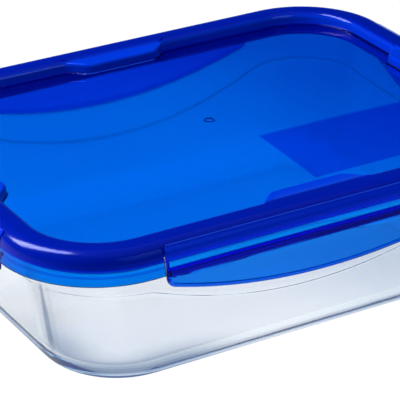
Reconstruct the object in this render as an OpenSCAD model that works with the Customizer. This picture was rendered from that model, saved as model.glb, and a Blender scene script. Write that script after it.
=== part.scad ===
// Rectangular glass storage dish with a press-on plastic lid, a silicone seal and
// four latch tabs on living hinges. Millimetres, +Z up, +X along the long side.
// The origin is the centre of the base, on the surface that the dish stands on.

/* [Lid] */
// Half length of the lid's top edge, along X
lid_half_x = 120; // [112:1:130]
// Half width of the lid's top edge, along Y
lid_half_y = 92.5; // [88:0.5:98]
// Corner radius of the lid's top edge
lid_corner_r = 37.5; // [34:0.5:40]
// Height of the rim's flat top above the table
lid_top_z = 71.5; // [68:0.5:80]
// Wall thickness of the moulded lid
lid_wall = 1.4; // [1.2:0.1:1.6]
// Depth of the centre panel's edge below the rim's top
panel_drop = 5.5; // [4.5:0.1:6]
// Rise of the domed centre panel from its edge to its middle
panel_rise = 2.8; // [0.5:0.1:4]
// Depth of the skirt's lower edge below the rim's top
skirt_drop = 13; // [12:0.5:14]

/* [Latch tabs] */
// Length of the front and back tabs
long_tab = 152; // [130:1:155]
// Length of the left and right tabs
short_tab = 105; // [80:1:106]
// Depth of a tab's lowest point below the rim's top
tab_drop = 30.5; // [26:0.5:34]
// Sag of a tab's curved lower edge, from its ends to its middle
tab_sag = 12.7; // [8:0.1:14]
// Gap between a tab's end and the skirt beside it
tab_gap = 0.8; // [0.6:0.1:1.2]

/* [Dish] */
// Slope of the long walls, as outward run per unit of height
slope_y = 0.17; // [0.12:0.01:0.19]
// Slope of the short walls, as outward run per unit of height
slope_x = 0.22; // [0.16:0.01:0.23]
// Radius of the outer edge between wall and base
foot_r = 15; // [10:1:18]
// Thickness of the glass wall
glass_wall = 3.8; // [3:0.1:4]
// Thickness of the glass base
glass_base = 5; // [3.5:0.5:8]

/* [Hidden] */

glass_color = [0.86, 0.90, 0.93, 0.5];
lid_color = [0.0, 0.32, 0.85, 0.8];
tab_color = [0.0, 0.42, 0.9, 0.8];
seal_color = [0.85, 0.88, 0.92];

// Sections below are drawn as [u, z]: u is the distance outside the lid's top edge
// outline, and z is the height above the table.

// Lid rim section
shoulder_r = 6;                            // outer rounding between top and skirt
shoulder_u = -1.5;
shoulder_z = lid_top_z - shoulder_r;
rim_width = 8.5;                           // width of the rim's flat top
rim_edge_r = 1.5;                          // rounding of the rim's inner edge
ceiling_z = lid_top_z - 1.8;               // roof of the seal channel
plug_z = lid_top_z - 11.5;                 // lower edge of the wall inside the glass
plug_draft = 1.2;                          // lean of that wall over its height
channel_u = 0.9;                           // inner face of the outer channel wall
channel_out_u = 2.2;
channel_z = lid_top_z - 6.1;
skirt_z = lid_top_z - skirt_drop;
skirt_flare = 1.5;                         // outward lean of the skirt
cut_a = acos((channel_out_u - shoulder_u) / shoulder_r);   // where a tab leaves the shoulder

// Centre panel
panel_lap = 0.5;                           // how far the panel runs into the plug wall
panel_insets = [0, 6, 14, 26, 42, 68];     // rings of the dome, as distances from its edge
panel_min_r = 8;                           // smallest corner radius of those rings

// Finger ledge in the middle of each side of the rim
ledge_half = 27;
ledge_flat = 15;
ledge_width = 7.8;
ledge_drop = 0.8;
ledge_wall = 1.2;
ledge_back_wall = 0.6;                     // wall left against the rim
ledge_lap = 0.3;                           // how far the ledge runs into the rim

// Latch tab section
hinge_u = channel_out_u + 0.3;
hinge_z = lid_top_z - 1.5;
tab_u = hinge_u + 0.15;                    // inner face beside the hinge
tab_face_u = shoulder_u + shoulder_r;      // outer face below the shoulder
bead_z = lid_top_z - 12.6;
bead_half = 1.3;                           // half height of the latch bead
bead_u = 0.85;                             // tip of the bead
bead_flat = 0.5;                           // height of the bead's blunt tip
bead_ramp = 1.2;                           // depth of the bead's lower ramp
bulge = 0.9;                               // how far the outer face stands out at the bead
wing_z = lid_top_z - 15;
wing_in = 3.2;                             // inward lean of the wing
lip = 0.5;                                 // extra thickness of the lower edge
lip_band = 1.8;                            // width of that thicker edge
tab_corner_r = 5;
tab_cut = 12;                              // depth that a tab is cut through, front to back
web_thick = 0.35;                          // living hinge web
web_wide = 0.25;                           // width of the web between rim and tab
web_low = 0.25;                            // web's underside below the hinge line
web_end = 4;                               // web stops this far from each tab end

// Glass rim and cavity
rim_u = 0.5;                               // outer edge of the glass rim
rim_z = lid_top_z - 5.2;                   // top of the glass rim
rim_deep = 5;                              // height of the glass rim bead
rim_r = 1.2;
rim_inner_u = -6.6;                        // inner face of the glass at the top
wall_u = -3.5;                             // outer face of the wall under the rim
wall_z = rim_z - rim_deep;
wall_r = 34;                               // corner radius of the wall under the rim
low_r = 33;                                // corner radius of the wall near the base
low_z = 12;
inner_r = 11;                              // radius between the cavity's wall and floor

// Silicone seal
seal_in = -6.4;
seal_out = 0.5;
seal_low = rim_z + 0.3;
seal_high = ceiling_z - 0.1;
seal_rib_r = 0.6;                          // rounding of its two ribs
seal_rib_gap = 2.88;                       // distance between the ribs

corner_steps = 9;

// Points of an arc of radius r about [u, z], from angle a to angle b in n steps
function arc(u, z, r, a, b, n) =
    [for (i = [0:n]) [u + r * cos(a + (b - a) * i / n), z + r * sin(a + (b - a) * i / n)]];

// One closed ring of a rounded rectangle, at height z
function ring(hx, hy, r, z) =
    [for (q = [0:3]) for (i = [0:corner_steps])
        let (a = 90 * q + 90 * i / corner_steps,
             sx = (q == 0 || q == 3) ? 1 : -1,
             sy = q < 2 ? 1 : -1)
        [sx * (hx - r) + r * cos(a), sy * (hy - r) + r * sin(a), z]];

// The lid's top edge outline grown by p[0], at height p[1]
function lid_ring(p) = ring(lid_half_x + p[0], lid_half_y + p[0], lid_corner_r + p[0], p[1]);

// The glass wall's outer outline at height z, grown by g
function wall_ring(z, g) =
    let (t = (wall_z - z) / (wall_z - low_z))
    ring(lid_half_x + wall_u - (wall_z - z) * slope_x + g,
         lid_half_y + wall_u - (wall_z - z) * slope_y + g,
         wall_r + (low_r - wall_r) * t + g, z);

// A rounded foot: rings that turn from the wall into a flat floor at height z0
function foot_ring(z0, r, g, a) =
    let (lean = atan((slope_x + slope_y) / 2),
         tangent_z = z0 + r * (1 - sin(lean)),
         du = r * (cos(a) - cos(lean)),
         w = wall_ring(tangent_z, g + du))
    [for (p = w) [p[0], p[1], z0 + r * (1 + sin(a))]];

// A closed solid through a list of rings, with flat first and last faces
module loft(rings) {
    n = len(rings[0]);
    m = len(rings);
    points = [for (k = rings) each k];
    bottom = [[for (j = [0:n - 1]) j]];
    top = [[for (j = [n - 1:-1:0]) (m - 1) * n + j]];
    sides = [for (k = [0:m - 2]) for (j = [0:n - 1])
        let (a = k * n + j, b = k * n + (j + 1) % n)
        each [[a, a + n, b + n], [a, b + n, b]]];
    polyhedron(points, concat(bottom, sides, top));
}

// A straight run of a section along the front side, from x0 to x1
module run_x(x0, x1, half_y) {
    translate([(x0 + x1) / 2, -half_y, 0])
        rotate([90, 0, -90])
            linear_extrude(x1 - x0, center = true) children();
}

// The section on all four sides: between from_x and to_x along the long sides, and
// between from_y and to_y along the short ones
module runs(from_x, to_x, from_y, to_y) {
    for (turn = [0, 180]) rotate(turn) {
        run_x(from_x, to_x, lid_half_y) children();
    }
    for (turn = [90, 270]) rotate(turn) {
        run_x(from_y, to_y, lid_half_x) children();
    }
}

// The section swept round the lid's four corners
module corners() {
    for (q = [0:3]) {
        sx = (q == 0 || q == 3) ? 1 : -1;
        sy = q < 2 ? 1 : -1;
        translate([sx * (lid_half_x - lid_corner_r), sy * (lid_half_y - lid_corner_r), 0])
            rotate(90 * q)
                rotate_extrude(angle = 90, $fn = 96)
                    translate([lid_corner_r, 0]) children();
    }
}

// Section of the lid's rim where a tab hangs beside it
module rim_section() {
    polygon(concat(
        arc(shoulder_u, shoulder_z, shoulder_r, 90, cut_a, 4),
        [[channel_out_u, channel_z], [channel_u, channel_z], [channel_u, ceiling_z],
         [-rim_width + lid_wall, ceiling_z],
         [-rim_width + lid_wall - plug_draft, plug_z], [-rim_width - plug_draft, plug_z]],
        arc(-rim_width + rim_edge_r, lid_top_z - rim_edge_r, rim_edge_r, 180, 90, 4)));
}

// The same section with the skirt that covers each corner
module skirt_section() {
    inner_r = shoulder_r - lid_wall;
    low_u = tab_face_u + skirt_flare;
    in_a = acos((channel_out_u - shoulder_u) / inner_r);
    polygon(concat(
        arc(shoulder_u, shoulder_z, shoulder_r, 90, cut_a, 4),
        arc(shoulder_u, shoulder_z, shoulder_r, cut_a * 5 / 6, 0, 5),
        [[low_u, skirt_z], [low_u - lid_wall, skirt_z]],
        arc(shoulder_u, shoulder_z, inner_r, 0, in_a, 4),
        [[channel_out_u, channel_z], [channel_u, channel_z], [channel_u, ceiling_z],
         [-rim_width + lid_wall, ceiling_z],
         [-rim_width + lid_wall - plug_draft, plug_z], [-rim_width - plug_draft, plug_z]],
        arc(-rim_width + rim_edge_r, lid_top_z - rim_edge_r, rim_edge_r, 180, 90, 4)));
}

// Plan of one finger ledge, drawn as [along the side, inward], smaller by g
module ledge_plan(g) {
    w = ledge_width - g;
    half = ledge_half - g;
    n = 8;
    side = [for (i = [0:n])
        let (t = i / n) [half - (half - ledge_flat) * t, w * (1 - cos(180 * t)) / 2]];
    polygon(concat(side, [for (i = [n:-1:0]) [-side[i][0], side[i][1]]]));
}

// One finger ledge on the front side: a hollow lug that stands on the panel
module ledge(half) {
    foot = lid_top_z - panel_drop + 0.1;
    high = lid_top_z - ledge_drop;
    height = high - foot;
    translate([0, -half + rim_width, 0])
        difference() {
            translate([0, 0, foot])
                linear_extrude(height)
                    union() {
                        ledge_plan(0);
                        translate([-ledge_half, -ledge_lap])
                            square([2 * ledge_half, ledge_lap + 0.1]);
                    }
            translate([0, ledge_back_wall, foot - 1])
                linear_extrude(height + 1 - ledge_wall)
                    ledge_plan(ledge_wall + ledge_back_wall);
        }
}

module lid_rim() {
    edge_x = long_tab / 2 + tab_gap;
    edge_y = short_tab / 2 + tab_gap;
    flat_x = lid_half_x - lid_corner_r;
    flat_y = lid_half_y - lid_corner_r;
    color(lid_color) union() {
        corners() skirt_section();
        runs(edge_x, flat_x, edge_y, flat_y) skirt_section();
        runs(-flat_x, -edge_x, -flat_y, -edge_y) skirt_section();
        runs(-edge_x, edge_x, -edge_y, edge_y) rim_section();
        for (turn = [0, 180]) rotate(turn) ledge(lid_half_y);
        for (turn = [90, 270]) rotate(turn) ledge(lid_half_x);
    }
}

// Domed centre panel: its top and underside are the same curve, a wall apart
module lid_panel() {
    edge_u = -rim_width - panel_lap;
    edge_z = lid_top_z - panel_drop;
    reach = lid_half_y + edge_u;
    dome = [for (s = panel_insets)
        let (r = max(lid_corner_r + edge_u - s, panel_min_r), f = 1 - s / reach)
        ring(lid_half_x + edge_u - s, lid_half_y + edge_u - s, r, edge_z + panel_rise * (1 - f * f))];
    under = [for (k = [len(dome) - 1:-1:0]) [for (p = dome[k]) [p[0], p[1], p[2] - lid_wall]]];
    color(lid_color) loft(concat(under, dome));
}

// Flat gasket with two rounded ribs that face the glass rim
module seal_section() {
    mid = (seal_in + seal_out) / 2;
    base = seal_low + seal_rib_r;
    polygon(concat(
        [[seal_in, seal_high], [seal_in, base]],
        arc(mid - seal_rib_gap / 2, base, seal_rib_r, 180, 360, 8),
        arc(mid + seal_rib_gap / 2, base, seal_rib_r, 180, 360, 8),
        [[seal_out, base], [seal_out, seal_high]]));
}

module silicone_seal() {
    flat_x = lid_half_x - lid_corner_r;
    flat_y = lid_half_y - lid_corner_r;
    color(seal_color) union() {
        corners() seal_section();
        runs(-flat_x, flat_x, -flat_y, flat_y) seal_section();
    }
}

// Front view of a tab, drawn as [along, z], with its lower edge moved up by g
module tab_front_view(length, g) {
    half = length / 2;
    low = lid_top_z - tab_drop;
    big_r = (half * half + tab_sag * tab_sag) / (2 * tab_sag);
    centre_z = low + big_r;
    corner_x = half - tab_corner_r;
    corner_z = centre_z - sqrt(pow(big_r - tab_corner_r, 2) - corner_x * corner_x);
    foot_x = corner_x * big_r / (big_r - tab_corner_r);
    foot_z = centre_z - (centre_z - corner_z) * big_r / (big_r - tab_corner_r);
    difference() {
        intersection() {
            translate([-half + g, low - 1]) square([length - 2 * g, tab_drop + 1]);
            translate([0, centre_z]) circle(big_r - g, $fn = 360);
        }
        for (side = [0, 1]) mirror([side, 0]) difference() {
            polygon([[corner_x, corner_z], [half + 1, corner_z], [half + 1, foot_z - 4],
                     [foot_x + (foot_x - corner_x) * 0.5, foot_z - 4], [foot_x, foot_z]]);
            translate([corner_x, corner_z]) circle(tab_corner_r - g, $fn = 64);
        }
    }
}

// Section of a tab across its length: shoulder, face with the latch bead, and wing
module tab_section() {
    inner_r = shoulder_r - lid_wall;
    out_a = acos((tab_u - shoulder_u) / shoulder_r);
    in_a = acos((tab_u - shoulder_u) / inner_r);
    low = lid_top_z - tab_drop - 1;
    face_u = tab_face_u + bulge;
    low_u = face_u - wing_in;
    polygon(concat(
        arc(shoulder_u, shoulder_z, shoulder_r, out_a, 0, 6),
        [[face_u, bead_z + bead_half], [face_u, wing_z], [low_u, low],
         [low_u - lid_wall, low], [face_u - lid_wall, wing_z],
         [bead_u + bead_ramp, bead_z - bead_half], [bead_u, bead_z - bead_flat / 2],
         [bead_u, bead_z + bead_flat / 2], [face_u - lid_wall, bead_z + bead_half + lip]],
        arc(shoulder_u, shoulder_z, inner_r, 0, in_a, 4)));
}

// Thicker lower edge of the wing
module lip_section() {
    low = lid_top_z - tab_drop - 1;
    face_u = tab_face_u + bulge;
    low_u = face_u - wing_in;
    polygon([[face_u + lip, wing_z], [low_u + lip, low], [low_u - lid_wall, low],
             [face_u - lid_wall, wing_z]]);
}

// A front view pushed through the front side, from just inside the lid's edge
module cut_through(half) {
    translate([0, -half + 2, 0]) rotate([90, 0, 0]) linear_extrude(tab_cut) children();
}

// One latch tab in place on the front side of a lid of half width half
module latch_tab(length, half) {
    color(tab_color) union() {
        intersection() {
            run_x(-length / 2, length / 2, half) tab_section();
            cut_through(half) tab_front_view(length, 0);
        }
        intersection() {
            run_x(-length / 2, length / 2, half) lip_section();
            cut_through(half) difference() {
                tab_front_view(length, 0);
                tab_front_view(length, lip_band);
            }
        }
    }
}

// The thin web that a tab swings on
module living_hinge(length, half) {
    reach = length / 2 - web_end;
    color(tab_color)
        translate([-reach, -half - channel_out_u - web_wide, hinge_z - web_low])
            cube([2 * reach, web_wide, web_thick]);
}

// Dish: base, rounded foot, sloping walls, rim bead, and the cavity back down
module glass_dish() {
    lean = atan((slope_x + slope_y) / 2);
    foot_steps = 6;
    foot = [for (i = [0:foot_steps])
        foot_ring(0, foot_r, 0, -90 + (90 - lean) * i / foot_steps)];
    bead = concat(
        [[wall_u, wall_z - 1], [wall_u + 0.6, wall_z - 0.2], [rim_u - rim_r, wall_z]],
        arc(rim_u - rim_r, wall_z + rim_r, rim_r, -60, 0, 2),
        arc(rim_u - rim_r, rim_z - rim_r, rim_r, 0, 90, 3),
        arc(rim_inner_u + rim_r, rim_z - rim_r, rim_r, 90, 180, 3));
    cavity = [for (i = [foot_steps:-1:0])
        foot_ring(glass_base, inner_r, -glass_wall, -90 + (90 - lean) * i / foot_steps)];
    color(glass_color)
        loft(concat(foot, [for (p = bead) lid_ring(p)], cavity));
}

glass_dish();
lid_rim();
lid_panel();
silicone_seal();
latch_tab(long_tab, lid_half_y);  // latch_tab_front
rotate(180) latch_tab(long_tab, lid_half_y);  // latch_tab_back
rotate(-90) latch_tab(short_tab, lid_half_x);  // latch_tab_left
rotate(90) latch_tab(short_tab, lid_half_x);  // latch_tab_right
living_hinge(long_tab, lid_half_y);  // living_hinge_front
rotate(180) living_hinge(long_tab, lid_half_y);  // living_hinge_back
rotate(-90) living_hinge(short_tab, lid_half_x);  // living_hinge_left
rotate(90) living_hinge(short_tab, lid_half_x);  // living_hinge_right
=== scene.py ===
import math

import bmesh
import bpy
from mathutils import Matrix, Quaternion, Vector


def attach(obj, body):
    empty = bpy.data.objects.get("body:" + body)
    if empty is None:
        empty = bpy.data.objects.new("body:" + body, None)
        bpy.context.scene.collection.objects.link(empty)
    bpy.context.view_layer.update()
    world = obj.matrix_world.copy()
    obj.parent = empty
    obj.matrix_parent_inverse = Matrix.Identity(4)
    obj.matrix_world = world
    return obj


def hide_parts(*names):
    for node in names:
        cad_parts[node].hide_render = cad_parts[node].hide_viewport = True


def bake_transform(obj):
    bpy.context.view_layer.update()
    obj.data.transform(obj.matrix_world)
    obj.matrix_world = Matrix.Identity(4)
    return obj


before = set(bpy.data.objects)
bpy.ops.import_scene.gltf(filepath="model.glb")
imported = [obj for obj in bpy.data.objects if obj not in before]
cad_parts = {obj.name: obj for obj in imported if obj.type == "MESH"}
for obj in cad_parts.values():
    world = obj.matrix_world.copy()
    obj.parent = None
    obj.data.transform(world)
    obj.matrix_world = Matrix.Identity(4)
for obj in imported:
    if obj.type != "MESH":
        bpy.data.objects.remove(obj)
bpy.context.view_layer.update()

MM = 0.001

# ---------------------------------------------------------------- sizes, in mm
# Sections are drawn in u and z: u is the distance outside the lid's top edge, less than 0
# inside it, and z is the height above the floor.
HX, HY, CORNER = 120.0, 92.5, 37.5          # lid's top edge: half sizes and corner radius
FLAT_X, FLAT_Y = HX - CORNER, HY - CORNER   # half lengths of its straight sides
TOP = 71.5                                  # rim's flat top
RIM_W, WALL = 8.5, 1.4                      # rim's width inward, the plastic's thickness
RIM_LEAN = 0.104                            # lean of the rim's inner wall, per mm down
PANEL_Z, PANEL_RISE = 66.0, 2.8             # panel's top at its edge, and the dome's rise
PANEL_HX, PANEL_HY = 111.0, 83.5            # half sizes over which the dome falls off
PANEL_EDGE = 10.07                          # panel's edge, inside the lid's top edge
SHOULDER_U, SHOULDER_Z, SHOULDER_R = -1.5, 65.5, 6.0
RIM_OUT_U, SKIRT_ROOT_Z = 2.2, 68.24        # rim's outer face, and where the skirt leaves it
CHANNEL_U, CHANNEL_Z, CEILING_Z = 0.9, 65.4, 69.7   # seal channel: wall, lower edge, ceiling
PLUG_Z = 60.0                               # foot of the wall that dips inside the glass
SKIRT_Z, SKIRT_FLARE = 58.5, 1.5            # skirt's lower edge, and how far it flares
CUT_R = 0.4                                 # rounding of the skirt's ends beside a tab
LEDGE_HALF, LEDGE_FLAT = 27.0, 15.0         # finger ledge: half lengths, whole and full width
LEDGE_W, LEDGE_DROP = 7.8, 0.8              # its width, and how far it lies below the rim
LONG_TAB, SHORT_TAB, TAB_GAP = 152.0, 105.0, 0.8
TAB_LOW, TAB_SAG, TAB_R = 41.0, 12.7, 5.0   # tab's lowest point, curve of its edge, corners
TAB_U = 2.65                                # where the tab starts, beside the hinge
TAB_EDGE_R = 0.5                            # rounding of the tab's edges
WING_TOP_Z = 57.35                          # where the tab's bead ends and its wing starts
BEAD_OUT_U = 5.4                            # tab's widest place, outside the bead
WING_LOW_Z, WING_IN = 40.0, 3.2             # foot of the wing's slope, and how far it leans in
SLOPE_X, SLOPE_Y = 0.22, 0.17               # slopes of the glass: short sides, long sides
GLASS_U, GLASS_Z, GLASS_T = -3.5, 61.3, 3.8     # top of the sloping wall, its thickness
GLASS_TOP_R, GLASS_FOOT_R, GLASS_FOOT_Z = 34.0, 36.5, 12.0  # its corner radii, top and foot
FOOT_R, INNER_FOOT_R, BASE_T = 15.0, 11.0, 5.0  # roundings of the foot, the base's thickness

# Painted shade: a dark streak seen in the front left corner's glass, painted as a tint in its
# outer face.
# In degrees round the corner from the left side: its place, the stations beside it, and its
# half width high up and low down
PAINTED_STREAK_AT = 16.0
PAINTED_STREAK_STEPS = (0.7, 1.4, 2.2, 3.2, 4.4)
PAINTED_STREAK_HALF_HIGH, PAINTED_STREAK_HALF_LOW = 2.6, 4.0
PAINTED_STREAK_DEPTH, PAINTED_STREAK_TINT = 2.0, 0.85       # how far in from the outer face, and its strength


def smooth(x):
    x = min(1.0, max(0.0, x))
    return x * x * (3 - 2 * x)


def ramp(x, a, b):
    """0 at a and 1 at b, smooth between them and level beyond; b may be below a."""
    return smooth((x - a) / (b - a))


def lerp(a, b, t):
    return a + (b - a) * t


def arc(cu, cz, r, a0, a1, n):
    """Points of an arc about (cu, cz), angles in degrees, n steps."""
    out = []
    for i in range(n + 1):
        a = math.radians(lerp(a0, a1, i / n))
        out.append((cu + r * math.cos(a), cz + r * math.sin(a)))
    return out


def between(half, n):
    """The n - 1 places that split the span from -half to half into n equal parts."""
    return [-half + 2 * half * i / n for i in range(1, n)]


# ---------------------------------------------------------------- mesh helpers
MERGE_DIST, FLAT_EDGE = 2e-6, 1e-6      # metres: points this near are one, edges this short go


def piece(name, verts, faces, crease=32.0):
    """A closed, smooth-shaded mesh object from points in mm."""
    mesh = bpy.data.meshes.new(name)
    mesh.from_pydata([(x * MM, y * MM, z * MM) for x, y, z in verts], [], faces)
    bm = bmesh.new()
    bm.from_mesh(mesh)
    bmesh.ops.remove_doubles(bm, verts=bm.verts, dist=MERGE_DIST)
    bmesh.ops.dissolve_degenerate(bm, edges=bm.edges, dist=FLAT_EDGE)
    bmesh.ops.recalc_face_normals(bm, faces=bm.faces)
    bm.to_mesh(mesh)
    bm.free()
    mesh.shade_smooth()
    mesh.set_sharp_from_angle(angle=math.radians(crease))
    obj = bpy.data.objects.new(name, mesh)
    bpy.context.scene.collection.objects.link(obj)
    return obj


def point_values(obj, *names):
    """New per-point numbers, which the materials read by their names."""
    for name in names:
        obj.data.attributes.new(name, "FLOAT", "POINT")
    return [obj.data.attributes[name].data for name in names]


def skin(rings, caps=(True, True), wrap=False):
    """Faces through a list of closed rings with the same number of points each."""
    m, n = len(rings), len(rings[0])
    verts = [p for ring in rings for p in ring]
    faces = []
    for k in range(m if wrap else m - 1):
        a, b = k * n, ((k + 1) % m) * n
        for j in range(n):
            i = (j + 1) % n
            faces.append((a + j, a + i, b + i, b + j))
    if caps[0]:
        faces.append(tuple(range(n))[::-1])
    if caps[1]:
        faces.append(tuple(range((m - 1) * n, m * n)))
    return verts, faces


def stations(long_s, short_s, corner_n, extra=()):
    """Stations round the rounded rectangle, counterclockwise. ("side", k, v) is on side k
    (0 front, 1 right, 2 back, 3 left), at v times its half length. ("corner", k, angle) is
    on the corner after side k. extra adds stations round the dark streak."""
    out = []
    for k in range(4):
        flat = FLAT_X if k % 2 == 0 else FLAT_Y
        for s in (long_s if k % 2 == 0 else short_s):
            out.append(("side", k, s / flat))
        angles = [90 * i / corner_n for i in range(corner_n + 1)]
        if extra and k == 3:
            angles = [a for a in angles if abs(a - PAINTED_STREAK_AT) > max(extra)]
            angles += [PAINTED_STREAK_AT] + [PAINTED_STREAK_AT + sign * e for e in extra for sign in (-1, 1)]
        for angle in sorted(angles):
            out.append(("corner", k, -90 + 90 * k + angle))
    return out


def place(st, hx, hy, r, z):
    """The point of a station on a rounded rectangle of half sizes hx, hy and radius r."""
    kind, k, v = st
    if kind == "side":
        if k == 0:
            return (v * (hx - r), -hy, z)
        if k == 1:
            return (hx, v * (hy - r), z)
        if k == 2:
            return (-v * (hx - r), hy, z)
        return (-hx, -v * (hy - r), z)
    a = math.radians(v)
    cx = (hx - r) * (1 if k in (0, 1) else -1)
    cy = (hy - r) * (1 if k in (1, 2) else -1)
    return (cx + r * math.cos(a), cy + r * math.sin(a), z)


def place_all(sts, hx, hy, r, z):
    return [place(st, hx, hy, r, z) for st in sts]


def lid_point(st, u, z):
    return place(st, HX + u, HY + u, CORNER + u, z)


def outside(x, y, hx, hy, r):
    """How far a place is outside a rounded rectangle, less than 0 inside it."""
    qx, qy = abs(x) - (hx - r), abs(y) - (hy - r)
    return math.hypot(max(qx, 0), max(qy, 0)) - r + min(max(qx, qy), 0)


# ---------------------------------------------------------------- the glass dish
WALL_ANGLE = math.atan((SLOPE_X + SLOPE_Y) / 2)


def wall_size(z, g):
    """Half sizes and corner radius of the sloping wall at a height, g further out."""
    t = (GLASS_Z - z) / (GLASS_Z - GLASS_FOOT_Z)
    return (HX + GLASS_U - (GLASS_Z - z) * SLOPE_X + g,
            HY + GLASS_U - (GLASS_Z - z) * SLOPE_Y + g,
            lerp(GLASS_TOP_R, GLASS_FOOT_R, t) + g)


def foot_size(z0, r, g, a):
    """The same on the foot's rounding of radius r above z0, at angle a, and the height."""
    tangent_z = z0 + r * (1 - math.sin(WALL_ANGLE))
    du = r * (math.cos(a) - math.cos(WALL_ANGLE))
    return wall_size(tangent_z, g + du), z0 + r * (1 + math.sin(a))


def standing_size():
    """Half sizes and corner radius of the flat that the dish stands on."""
    return foot_size(0.0, FOOT_R, 0.0, -math.pi / 2)[0]


# The curved step round the wall: its lowest height, its depth and half height on the
# front, right, back and left, and the heights above which its rise flattens out
WAVE_LOW = 29.8
WAVE_RELIEF = (0.25, 0.36, 0.90, 0.05)
WAVE_HALF = (0.25, 0.30, 0.45, 0.25)
WAVE_BEND, WAVE_MORE = 14.2, 3.4


def wave_rise(x):
    """How far the step has risen, x along the long side from its middle."""
    q = x / 60.0
    rise = 8.2 * q ** 2 + 0.6 * q ** 4
    if rise < WAVE_BEND:
        return rise
    return WAVE_BEND + WAVE_MORE * math.tanh((rise - WAVE_BEND) / WAVE_MORE)


WAVE_END = WAVE_LOW + wave_rise(FLAT_X)


def wave_z(st):
    """Height of the faint curved step that runs round the outside of the wall."""
    kind, k, v = st
    if kind == "side" and k % 2 == 0:
        return WAVE_LOW + wave_rise(abs(v) * FLAT_X)
    if kind == "side":
        return WAVE_END - 1.4 * (1 - v * v)
    return WAVE_END + 1.2 * (1 - (abs(v % 90 - 45) / 45.0) ** 2)


def round_corner(st, per_side):
    """A number given per side, which changes evenly across the corners between them."""
    kind, k, v = st
    if kind == "side":
        return per_side[k]
    return lerp(per_side[k], per_side[(k + 1) % 4], (v + 90 - 90 * k) / 90)


WALL_TOP_Z = 60.0       # the plain wall ends here and the bead round the rim starts
RIM_IN_Z, RIM_IN_U = 65.1, -6.6     # where the bead meets the inner face
FOOT_STEPS, INNER_STEPS = 16, 9
# Rings of the hollow underside: inset from the foot's flat, smaller radius, height
UNDERSIDE = [(16, 10, 0.8), (9, 6, 0.75), (5, 4, 0.45), (2.6, 2.2, 0.08)]
GLASS_BEAD = ([(-3.42, 60.5), (-3.2, 60.95), (-2.7, 61.25), (-1.9, 61.3)]
              + arc(-0.7, 62.5, 1.2, -80, 0, 6) + [(0.5, 63.6)]
              + arc(-0.7, 65.1, 1.2, 0, 90, 7) + [(-2.2, 66.3), (-3.9, 66.3)]
              + arc(-5.4, 65.1, 1.2, 90, 180, 7))


def step_point(st, z):
    """A point of the outer wall, set in above the curved step and out again below the rim."""
    half = round_corner(st, WAVE_HALF)
    drop = round_corner(st, WAVE_RELIEF) * smooth((z - (wave_z(st) - half)) / (2 * half))
    hx, hy, r = wall_size(z, -drop * smooth((WALL_TOP_Z - z) / 3.0))
    return place(st, hx, hy, r, z)


def build_dish():
    sts = stations(between(FLAT_X, 44), between(FLAT_Y, 30), 26, PAINTED_STREAK_STEPS)
    hx, hy, r = standing_size()
    rings = [place_all(sts, hx - d, hy - d, r - dr, z) for d, dr, z in UNDERSIDE]
    for i in range(FOOT_STEPS + 1):
        a = -math.pi / 2 + (math.pi / 2 - WALL_ANGLE) * i / FOOT_STEPS
        size, z = foot_size(0.0, FOOT_R, 0.0, a)
        rings.append(place_all(sts, *size, z))
    # wall, its rings gathered on the curved step
    z_foot = rings[-1][0][2]
    for t in (0.2, 0.4, 0.6, 0.8, 0.93):
        rings.append([step_point(st, lerp(z_foot, wave_z(st) - round_corner(st, WAVE_HALF), t))
                      for st in sts])
    for t in (-1.0, -0.6, -0.2, 0.2, 0.6, 1.0):
        rings.append([step_point(st, wave_z(st) + round_corner(st, WAVE_HALF) * t) for st in sts])
    for t in (0.07, 0.2, 0.4, 0.6, 0.8, 1.0):
        rings.append([step_point(st, lerp(wave_z(st) + round_corner(st, WAVE_HALF), WALL_TOP_Z, t))
                      for st in sts])
    # the rim's bead, then down the inside
    for u, z in GLASS_BEAD:
        rings.append([lid_point(st, u, z) for st in sts])
    inner_arc = math.pi / 2 - WALL_ANGLE
    size, z_in = foot_size(BASE_T, INNER_FOOT_R, -GLASS_T, -math.pi / 2 + inner_arc)
    top_size = (HX + RIM_IN_U, HY + RIM_IN_U, CORNER + RIM_IN_U)
    for i in range(1, INNER_STEPS + 1):
        t = i / INNER_STEPS
        now = [lerp(a, b, t) for a, b in zip(top_size, size)]
        rings.append(place_all(sts, *now, lerp(RIM_IN_Z, z_in, t)))
    for i in range(FOOT_STEPS - 1, -1, -1):
        a = -math.pi / 2 + inner_arc * i / FOOT_STEPS
        size, z = foot_size(BASE_T, INNER_FOOT_R, -GLASS_T, a)
        rings.append(place_all(sts, *size, z))
    hx, hy, r = foot_size(BASE_T, INNER_FOOT_R, -GLASS_T, -math.pi / 2)[0]
    rings.append(place_all(sts, hx - 8, hy - 8, r - 5, BASE_T))
    dish = piece("dish", *skin(rings), 50)
    (painted_streak,) = point_values(dish, "painted_streak")
    for v in dish.data.vertices:
        painted_streak[v.index].value = painted_streak_share(*(c / MM for c in v.co))
    return dish


def painted_streak_share(x, y, z):
    """The painted dark streak's share of a point's colour, a painted shade. Only the front left
    corner's outer face has it."""
    hx, hy, r = wall_size(z, 0.0)
    cx, cy = -x - (hx - r), -y - (hy - r)
    if cx <= 0 or cy <= 0 or math.hypot(cx, cy) < r - PAINTED_STREAK_DEPTH:
        return 0.0
    off = abs(math.degrees(math.atan2(cy, cx)) - PAINTED_STREAK_AT)
    half = lerp(PAINTED_STREAK_HALF_HIGH, PAINTED_STREAK_HALF_LOW, ramp(z, 46.0, 30.0))
    # it fades across 2.4 degrees, out at the foot, and out below the rim
    return PAINTED_STREAK_TINT * ramp(off, half, half - 2.4) * ramp(z, 9.0, 18.0) * ramp(z, 50.0, 47.0)


# ---------------------------------------------------------------- the lid shell
def dome(x, y):
    """Height of the centre panel's top."""
    qx, qy = min(1.0, abs(x) / PANEL_HX), min(1.0, abs(y) / PANEL_HY)
    return PANEL_Z + PANEL_RISE * (1 - qx ** 4) * (1 - qy * qy)


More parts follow.
